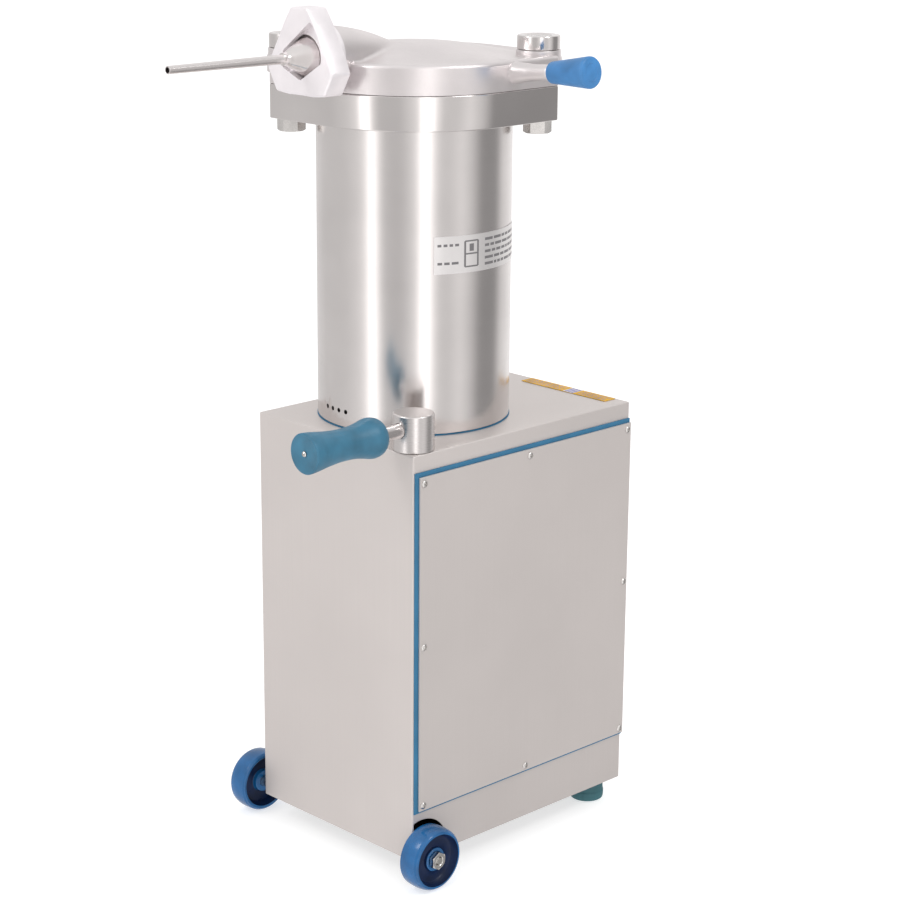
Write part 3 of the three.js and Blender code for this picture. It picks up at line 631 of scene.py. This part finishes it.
# ---- Labels: shapes and bars only, with no lettering --------------------------------------------
def wrapped(rows, radius, thickness, step=2.0):
    """Closed patches on a cylinder about Z: each row is (start degrees, end degrees, bottom, top)."""
    mesh = bmesh.new()
    for start, end, bottom, top in rows:
        count = max(1, math.ceil(abs(end - start) / step))
        stations = []
        for k in range(count + 1):
            a = math.radians(start + (end - start) * k / count)
            ways = [(r, z) for r in (radius, radius + thickness) for z in (bottom, top)]
            stations.append([mesh.verts.new((r * math.cos(a), r * math.sin(a), z)) for r, z in ways])
        for here, following in zip(stations, stations[1:]):
            for p, q in ((0, 1), (1, 3), (3, 2), (2, 0)):
                mesh.faces.new((here[p], here[q], following[q], following[p]))
        for end_ring in (stations[0], stations[-1]):
            mesh.faces.new((end_ring[0], end_ring[1], end_ring[3], end_ring[2]))
    bmesh.ops.recalc_face_normals(mesh, faces=mesh.faces)
    return mesh


def bars(start, end, shortest, longest, gap):
    """Random word-like bars that fill the run from start to end."""
    runs = []
    spot = start
    while spot < end - shortest:
        length = min(random.uniform(shortest, longest), end - spot)
        runs.append((spot, spot + length))
        spot += length + gap
    return runs


def labels():
    low, high = extent("barrel_label")
    radius = BARREL_RADIUS + FIT
    film_depth, print_depth = 0.45, 0.06
    film = wrapped([(-32, 44, low.z, high.z)], radius, film_depth)
    piece("rating_label_film", film, LABEL_FILM, "machine_frame", ["barrel_label"], COLUMN)
    ink = []
    height = high.z - low.z
    for k in range(5):
        z = high.z - height * (0.17 + 0.165 * k)
        ink += [(a, b, z - 1.6, z + 1.6) for a, b in bars(1.5, 41, 2.2, 7.5, 1.1)]
    for z in (0.28, 0.76):
        level = low.z + height * z
        ink += [(a, b, level - 1.5, level + 1.5) for a, b in bars(-30, -17, 2.0, 4.5, 1.3)]
    left, right, base, cap = -13.0, -4.0, low.z + height * 0.16, low.z + height * 0.84
    line = 0.6
    for edge in (base, (base + cap) / 2, cap):
        ink.append((left, right, edge - 0.9, edge + 0.9))
    for edge in (left, right):
        ink.append((edge - line, edge + line, base, cap))
    ink.append((left + 3, right - 3, (base + cap) / 2 + 3, cap - 3.5))
    print_layer = wrapped(ink, radius + film_depth + 0.01, print_depth)
    piece("rating_label_print", print_layer, LABEL_INK, "machine_frame", (), COLUMN)

    low, high = extent("top_label")
    base = low.z
    span, depth = high.x - low.x, high.y - low.y
    strip = round_edges(box(low, (high.x, high.y, base + 0.4)), 1.5,
      lambda a, b: abs(a.z - b.z) > 0.1)
    piece("top_label_film", strip, LABEL_YELLOW, "machine_frame", ["top_label"])
    from_x, to_x = low.x + span * 0.50, low.x + span * 0.62
    patch = box((from_x, low.y + 0.4, base + 0.41), (to_x, high.y - 0.4, base + 0.46))
    piece("top_label_centre", patch, LABEL_FILM, "machine_frame", ())
    bands = bmesh.new()
    for k in range(3):
        x = from_x + (to_x - from_x) * (0.12 + 0.31 * k)
        add_to(bands, box((x, low.y + 1.5, base + 0.47), (x + 3.2, high.y - 1.5, base + 0.5)))
    for k, (start, end) in enumerate(((0.03, 0.46), (0.66, 0.97))):
        for row in range(3):
            y = low.y + depth * (0.22 + 0.26 * row)
            for a, b in bars(low.x + span * start, low.x + span * end, 2.5, 8, 1.6):
                add_to(bands, box((a, y - 0.7, base + 0.41), (b, y + 0.7, base + 0.45)))
    piece("top_label_print", bands, LABEL_LILAC, "machine_frame", ())


# ---- Lid, grip, wing nut and nozzle -------------------------------------------------------------
def lid():
    gutter = turned([(104, LID_RIM + 1), (106, 33), (122, 33), (129, 34.2), (133, LID_RIM),
      (133, LID_RIM + 1)], 96, closed=True)
    plate = combined(eared_plate(0, LID_RIM, 0.8, 5.5), cuts=[gutter])
    crown = 48.8
    dome = turned([(0, 12), (137, 12), *flowing([(137, 31), (132, 33.6), (125, 33.8), (114, 35.4),
      (94, 39.8), (62, 45.2), (28, 48.2), (8, crown)]), (0, crown)], 96)
    duct, spigot_root = at(0, 0, DUCT_HEIGHT), 141.6
    horn_profile = flowing([(6, 10), (9, 30), (13, 46), (18.5, 62), (24, 80), (28.8, 100), (32.4, 120),
      (34, 134)])
    horn = turned([(0, 8), *horn_profile, (34, spigot_root), (0, spigot_root)], 72)
    moved(horn, ALONG_FRONT, duct)
    arm_tip, arm_rise = 85.1, math.radians(5)
    arm_place = at(112, 32.4, 18.5) @ Matrix.Rotation(math.pi / 2 - arm_rise, 4, "Y")
    arm_profile = flowing([(19, -6), (17.4, 0), (14.6, 20), (11.8, 38), (10.2, 56), (9.6, arm_tip)])
    arm = moved(turned([(0, -6), *arm_profile, (0, arm_tip)], 48), arm_place)
    skin = melted([dome, horn, arm], 2.2, 12)
    joins, cuts = [plate], []
    for sign in POST_SIGNS.values():
        boss = filleted([(0, 12), (28.5, 12), (28.5, 30), (27, 34, 2), (27, LID_EAR, 1.2), (0, LID_EAR)])
        joins.append(moved(turned(boss, 72), post_spot(sign)))
    spigot = [(0, 120), (30, 120), (33.9, 133), (34, spigot_root), (31, spigot_root),
      *threaded(31, 142, 156, 3, 1.4), (29.6, 157.6), (0, 157.6)]
    joins.append(moved(turned(spigot, 96), ALONG_FRONT, duct))
    joins.append(moved(rod(6, 70, 120.4, 32), arm_place))
    cuts.append(turned([(0, -2), (108, -2), (108, 0), *flowing([(108, 0), (103, 13), (70, 25), (30, 32)]),
      (0, 33)], 96))
    duct_bore = [(0, 60), (12, 61), (17, 66), (18, 80), (22, 158), (22, 170), (0, 170)]
    cuts.append(moved(turned(duct_bore, 64), ALONG_FRONT, duct))
    cuts.append(moved(rod(17, -2, DUCT_HEIGHT), at(0, -78, 0)))
    slot_half, hinge_bore = 12, POST_RADIUS + 0.4
    cuts.append(moved(rod(hinge_bore, -PAST, LID_EAR + PAST), post_spot(-1)))
    cuts.append(moved(rod(slot_half, -PAST, LID_EAR + PAST), post_spot(1)))
    swing = 2 * math.sqrt(2) * POST_OFFSET
    pivot = (-POST_OFFSET, -POST_OFFSET)
    slot = arc(swing + slot_half, 45, 60, 12, pivot) + arc(swing - slot_half, 60, 45, 12, pivot)
    cuts.append(prism(slot, -PAST, LID_EAR + PAST))
    body = combined(skin, joins=joins, cuts=cuts)
    piece("cast_lid", body, CAST, "lid", ["lid"], LID, sharp=38)

    start, end = 7.0, 68.0
    grip = turned([(0, start), *filleted([(9, start), (12.6, start, 2.5), (18.8, end, 5.0), (11, end),
      (10, end - 0.8), (0, end - 0.8)], steps=6)], 72)
    socket = rod(6.3, start - PAST, 43, 32)
    piece("lid_grip_moulding", combined(grip, cuts=[socket]), GRIP_BLUE, "lid", ["lid_grip"],
      LID @ arm_place @ at(0, 0, 78.4))


def wing_outline(steps):
    """Three broad lobes, one of them up, joined by hollows."""
    lobe = ((40.0, -27.0, 12.0), (57.0, -15.0, 6.0), (57.0, 15.0, 6.0), (40.0, 27.0, 12.0))
    corners = []
    for turn in (90, 210, 330):
        spin = Matrix.Rotation(math.radians(turn), 2)
        for x, y, radius in lobe:
            corners.append((*(spin @ Vector((x, y))), radius))
        hollow = Matrix.Rotation(math.radians(turn + 60), 2) @ Vector((43.0, 0))
        corners.append((*hollow, 14.0))
    return filleted(corners, closed=True, steps=steps)


def wing_nut():
    back, plate_back, lip, front = 144.9, 152.6, 162.3, 181.6
    plate = prism(wing_outline(6), plate_back, front)
    round_edges(plate, 2.6, at_height(front), 4)
    round_edges(plate, 2.0, at_height(plate_back))
    hub = turned(filleted([(0, back), (40, back, 1.5), (40, plate_back + 4), (0, plate_back + 4)]), 96)
    bore = turned([(0, back - PAST), (31.8, back - PAST), (31.8, lip), (27, lip), (26.5, lip + 8),
      (23, lip + 12), (0, lip + 12)], 96)
    mouth = [(20, 43, 5), (-29, 6, 5), (-30, -13, 6), (1, -26, 6), (39, -3, 6), (36, 18, 8)]
    pocket = prism(filleted(mouth, closed=True, steps=6), lip + 9, front + PAST)
    body = combined(plate, joins=[hub], cuts=[bore, pocket])
    piece("wing_nut_casting", body, NUT_CAST, "outlet_nut", ["outlet_nut"], OUTLET, edge=1.0,
      sharp=35)


def nozzle():
    foot, tip = 157.9, 370.6
    collar = [(22, foot), (30.6, foot), (30.6, 162), (26.4, 162)]
    cone = flowing([(26.2, 165.3), (22.5, 172.5), (17, 183), (11.5, 194), (8.2, 201), (7.4, 206.6)])
    slim_tube = filleted([(7.4, 206.6), (5.5, 206.9, 0.4), (4.6, 370.2, 0.3), (4.2, tip), (3.4, tip),
      (3.4, 204.6), (21, 163.9)])
    profile = [*collar, *cone, *slim_tube[1:]]
    piece("filling_nozzle", turned(profile, 64, closed=True), NOZZLE_STEEL, "nozzle", ["nozzle"],
      OUTLET)


# ---- Control lever ------------------------------------------------------------------------------
def control_lever():
    low, high = extent("lever_hub")
    radius = (high.x - low.x) / 2
    pivot = middle("lever_hub")
    rod_height = middle("lever_rod").z
    grip_start = pivot.y - extent("lever_grip")[1].y
    post = at(pivot.x, pivot.y, 0)
    reach = post @ at(0, 0, rod_height) @ ALONG_FRONT
    hub_profile = filleted([(0, low.z), (radius, low.z, 0.8), (radius, high.z, 2.0), (0, high.z)], steps=5)
    hub = turned(hub_profile, 96)
    bore = rod(9.3, low.z - PAST, high.z - 8)
    bar_radius, bar_end = 9.2, grip_start + 90
    socket = moved(rod(bar_radius + FIT, 11.7, 40), ALONG_FRONT, at(0, 0, rod_height))
    piece("lever_hub_turned", combined(hub, cuts=[bore, socket]), HUB_STEEL, "lever", ["lever_hub"],
      post, edge=0.5)
    bar = turned(filleted([(0, 12), (bar_radius, 12, 0.8), (bar_radius, bar_end, 0.8), (0, bar_end)]), 48)
    piece("lever_bar", bar, NOZZLE_STEEL, "lever", ["lever_rod"], reach)
    waist = flowing([(12, 8), (18, 10.5), (22.4, 16), (24, 23), (23.8, 29), (21.5, 39), (19.4, 52),
      (18.8, 66), (19.2, 80), (20.6, 94), (22.6, 108), (23.7, 116)])
    end = filleted([(23.7, 116), (24.2, 124, 2.2), (21.5, 124, 0.6), (20.5, 123.3), (0, 123.3)], steps=5)
    handle = turned([(0, 8), *waist, *end[1:]], 96)
    holes = [rod(bar_radius + FIT, 0, 90.3), rod(3.3, 114, 129, 24)]
    grip_place = reach @ at(0, 0, grip_start)
    piece("lever_grip_moulding", combined(handle, cuts=holes), GRIP_TEAL, "lever", ["lever_grip"],
      grip_place, sharp=45)
    head = turned([(0, 116), (3, 116), (3, 123.6), (3.4, 124.6), (2.9, 125.4), (1.8, 126.1), (0, 126.1)],
      32)
    slots = cross_recess(1.6, 0.4, 125.2, 128)
    piece("lever_end_screw_head", combined(head, cuts=slots), FASTENER, "lever", ["lever_end_screw"],
      grip_place)


# ---- Wheels, axle and feet ----------------------------------------------------------------------
def wheels():
    hub = middle("axle")
    inner = extent("wheel_right")[0].x - hub.x
    tread = filleted([(33.5, -1.4, 1.5), (36.5, -2.2, 1.5), (39.2, 0.6, 2), (39.8, 8), (40, 13),
      (39.6, 18.5), (38.6, 23.5, 2), (36.2, 27.2, 2.5), (33.5, 27.4, 1.5)])
    dish = filleted([(30.5, 18, 2), (28, 16.4), (19, 16.4), (15.5, 18, 1), (14.6, 22.0, 1), (11, 22.0, 0.8),
      (10.4, 20.6), (7.3, 20.6), (7.3, 2.0), (14.2, 2.0, 1), (14.8, 8, 2), (29.6, 8.6, 3)])
    shaded_dish_inner, shaded_dish_outer = 15.0, 33.2
    for side, sign in (("left", -1), ("right", 1)):
        place = at(hub.x + sign * inner, hub.y, hub.z) @ Matrix.Rotation(sign * math.pi / 2, 4, "Y")
        body = turned([*tread, *dish], 96, closed=True)
        wheel = piece(f"wheel_{side}_moulding", body, WHEEL_BLUE, f"wheel_{side}", [f"wheel_{side}"],
          place, sharp=40)
        # Faces of the recessed dish, between these radii, get the navy painted shade; the rest keep the
        # wheel's own blue.
        wheel.data.materials.append(WHEEL_DISH_SHADE)
        for face in wheel.data.polygons:
            off_axis = math.hypot(face.center.y / MM - hub.y, face.center.z / MM - hub.z)
            face.material_index = int(shaded_dish_inner < off_axis < shaded_dish_outer)
        nut = hex_nut(20, 22.3, 29, 5.3)
        piece(f"wheel_nut_{side}_hex", nut, FASTENER, "machine_frame", [f"wheel_nut_{side}"],
          place, sharp=25)
    low, high = extent("axle")
    half = (high.x - low.x) / 2
    shoulder = half - 8.1
    stub = threaded(5, half - 8, half - 1, 1.25, 0.5)
    right = [(7, shoulder), (4.6, shoulder), *stub, (4, half), (0, half)]
    left = [(radius, -z) for radius, z in reversed(right)]
    piece("axle_turned", turned([*left, *right], 48), AXLE_STEEL, "machine_frame", ["axle"],
      at(hub.x, hub.y, hub.z) @ ALONG_X, sharp=25)


def feet():
    for side in ("left", "right"):
        low, high = extent(f"foot_{side}")
        radius = (high.x - low.x) / 2 + 1.2
        spot = middle(f"foot_{side}")
        neck = radius - 0.9
        corners = [(0, 0), (radius - 6, 0, 1), (radius - 0.8, 1.2, 3.2), (radius, 7, 2), (radius, 12, 1),
          (neck, 13.5, 1), (neck, high.z - 3), (radius, high.z - 1.5, 1), (radius - 1, high.z),
          (5.3, high.z), (5.3, 22), (0, 22)]
        piece(f"foot_{side}_rubber", turned(filleted(corners), 72), FOOT_RUBBER, "machine_frame",
          [f"foot_{side}"], at(spot.x, spot.y, 0), sharp=50)


def gland():
    """The cable gland in the rear wall: a hexagon under a round cap. It holds no cable."""
    spot = middle("cable_gland")
    wall = extent("cabinet_shell")[1].y
    profile = filleted([(4.5, -9), (8, -9), (8, 0.3), (11.8, 0.3), (11.8, 6), (10, 7), (10, 13, 1.5),
      (7, 17.6, 1), (4.5, 18)], closed=True, steps=3)
    body = turned(profile, 48, closed=True)
    envelope = combined(prism(polygon(6, 21), -10, 6.2), joins=[rod(10.2, 6, 20)])
    place = at(spot.x, wall, spot.z) @ Matrix.Rotation(-math.pi / 2, 4, "X")
    piece("cable_gland_moulding", combined(body, commons=[envelope]), BLACK, "machine_frame",
      ["cable_gland"], place, sharp=35)


# ---- Piston -------------------------------------------------------------------------------------
def piston():
    low, high = extent("piston")
    radius = (high.x - low.x) / 2
    groove_low, groove_high = low.z + 9, low.z + 19
    bore, groove, crown = 12.3, 107, high.z - 1.2
    corners = [(bore, low.z), (radius, low.z, 1.5), (radius, groove_low), (groove, groove_low),
      (groove, groove_high), (radius, groove_high), (radius, high.z, 1.5), (96, high.z, 1), (92, crown, 1),
      (32, crown, 1), (29, high.z, 1), (bore, high.z)]
    piece("piston_turned", turned(filleted(corners), 128, closed=True), CAST, "piston", ["piston"],
      COLUMN)
    seal = tube(groove + FIT, radius + 0.2, groove_low + FIT, groove_high - FIT, 128, 1.2)
    piece("piston_lip_seal", seal, GASKET, "piston", ["piston_seal"], COLUMN)
    nut_low, nut_high = extent("piston_nut")
    piece("piston_hex_nut", hex_nut(36, nut_low.z, nut_high.z, bore), FASTENER, "piston", ["piston_nut"],
      COLUMN, sharp=25)
    low, high = extent("piston_rod")
    head, head_top, shoulder = 39.6, low.z + 30, nut_low.z - 28.6
    corners = [(0, low.z), (head, low.z, 1), (head, head_top, 1), (20, head_top), (20, shoulder, 1),
      (12, shoulder), (12, high.z, 1.5), (0, high.z)]
    piece("piston_rod_ground", turned(filleted(corners), 72), BARREL_STEEL, "piston", ["piston_rod"],
      COLUMN)


# ---- What stays as the frame has it: the drive inside the cabinet -------------------------------
def inner_nodes():
    looks = {
        PLAIN_STEEL: ["base_plate", "ram_mount_plate", "ram_head", "lever_spindle", "spindle_bush",
          "valve_spool", "pump", "motor_shaft", "pressure_pipe", "ram_pipe"],
        PAINTED: ["oil_tank", "tank_lid", "motor", "ram_cylinder", "valve_block", "electrical_box"],
        FASTENER: ["foot_bolt_left", "foot_bolt_right"],
    }
    for material, names in looks.items():
        for name in names:
            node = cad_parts[name]
            node.data.materials.clear()
            node.data.materials.append(material)


# ---- Camera, light and floor --------------------------------------------------------------------
AZIMUTH, ELEVATION, ROLL = (math.radians(a) for a in (45.7, 15.77, 0.42))
DISTANCE, LENS, SENSOR = 2.86, 93.57, 36
AIM_RIGHT, AIM_DOWN = 0.0588, 0.0101  # from the middle of the object's box, in metres
SOFTBOX_SIZE, LIT_POINT = (0.6, 0.8), Vector((0, 0, 0.6))


def camera():
    back = Vector((math.sin(AZIMUTH) * math.cos(ELEVATION), -math.cos(AZIMUTH) * math.cos(ELEVATION),
      math.sin(ELEVATION)))
    level = Vector((math.cos(AZIMUTH), math.sin(AZIMUTH), 0))
    upright = back.cross(level)
    right = level * math.cos(ROLL) + upright * math.sin(ROLL)
    up = upright * math.cos(ROLL) - level * math.sin(ROLL)
    low, high = cad_box
    aim = (low + high) / 2 + right * AIM_RIGHT - up * AIM_DOWN
    data = bpy.data.cameras.new("camera")
    data.sensor_width = SENSOR
    data.lens = LENS
    data.clip_end = 300
    eye = linked("camera", data)
    turn = Matrix((right, up, back)).transposed().to_4x4()
    eye.matrix_world = Matrix.Translation(aim + back * DISTANCE) @ turn
    bpy.context.scene.camera = eye


def studio():
    """A bright room whose walls vary softly with direction, as softboxes and dark flags do."""
    world = bpy.data.worlds.new("studio")
    bpy.context.scene.world = world
    world.use_nodes = True
    tree = world.node_tree
    nodes, links = tree.nodes, tree.links
    place = nodes.new("ShaderNodeTexCoord")
    split = nodes.new("ShaderNodeSeparateXYZ")
    links.new(place.outputs["Generated"], split.inputs[0])
    bearing = nodes.new("ShaderNodeMath")
    bearing.operation = "ARCTAN2"
    links.new(split.outputs["Y"], bearing.inputs[0])
    links.new(split.outputs["X"], bearing.inputs[1])
    share = nodes.new("ShaderNodeMapRange")
    share.inputs["From Min"].default_value = -math.pi
    share.inputs["From Max"].default_value = math.pi
    links.new(bearing.outputs[0], share.inputs["Value"])
    ramp = nodes.new("ShaderNodeValToRGB")
    # Each stop is a bearing to the right of the camera's, in degrees, and the wall's brightness there.
    walls = [(-150, 0.75), (-90, 0.69), (-68, 0.82), (-57, 1.0), (-52, 2.0), (-46, 2.0), (-41, 0.95),
      (-34, 0.64), (-14, 0.62), (5, 0.95), (10, 2.1), (17, 2.1), (23, 1.1), (30, 0.74), (44, 0.75),
      (58, 0.95), (72, 0.72), (86, 0.33), (112, 0.33), (126, 0.8), (160, 1.05)]
    tint, overhead = (0.99, 0.97, 0.965), 0.92
    facing = math.degrees(AZIMUTH) - 90
    stops = sorted((((facing + bearing_right + 180) % 360) / 360, value) for bearing_right, value in walls)
    elements = ramp.color_ramp.elements
    for k, (position, value) in enumerate(stops):
        element = elements[k] if k < 2 else elements.new(position)
        element.position = position
        element.color = (*(value * channel for channel in tint), 1)
    links.new(share.outputs["Result"], ramp.inputs["Fac"])
    height = nodes.new("ShaderNodeMapRange")
    height.inputs["From Min"].default_value = 0.35
    height.inputs["From Max"].default_value = 0.9
    links.new(split.outputs["Z"], height.inputs["Value"])
    blend = nodes.new("ShaderNodeMix")
    blend.data_type = "RGBA"
    links.new(height.outputs["Result"], blend.inputs[0])
    links.new(ramp.outputs["Color"], blend.inputs[6])
    blend.inputs[7].default_value = (overhead, overhead, overhead, 1)
    background = nodes["Background"]
    links.new(blend.outputs[2], background.inputs["Color"])
    background.inputs["Strength"].default_value = 1.0


def softbox(name, direction, distance, power):
    """A soft light that stands in this direction from the middle of the object and faces it."""
    data = bpy.data.lights.new(name, "AREA")
    data.shape = "RECTANGLE"
    data.size, data.size_y = SOFTBOX_SIZE
    data.energy = power
    held = linked(name, data)
    held.location = LIT_POINT + direction.normalized() * distance
    held.rotation_euler = direction.to_track_quat("Z", "Y").to_euler()


def floor():
    finish = Finish("pale_floor", Specular_IOR_Level=0.0, Emission_Color=(1, 1, 1, 1),
      Emission_Strength=0.6)
    grain = finish.noise(3.0, detail=4.0)
    finish.color(finish.ramp(grain, [(0.3, (0.60, 0.60, 0.60)), (0.7, (0.64, 0.64, 0.64))]))
    finish.roughness(grain, 0.85, 0.95)
    mesh = bmesh.new()
    bmesh.ops.create_grid(mesh, x_segments=4, y_segments=4, size=80)
    data = as_data("studio_floor", mesh)
    data.materials.append(finish.material)
    ground = linked("studio_floor", data)
    ground.visible_glossy = False


camera()
studio()
floor()
softbox("key_softbox", Vector((-0.35, -1.0, 0.9)), 2.6, 13)
softbox("fill_softbox", Vector((1.0, 0.25, 1.0)), 2.8, 17)
bpy.context.scene.view_settings.view_transform = "Standard"

cabinet()
barrel()
flange()
posts()
labels()
lid()
wing_nut()
nozzle()
control_lever()
wheels()
feet()
gland()
piston()
inner_nodes()
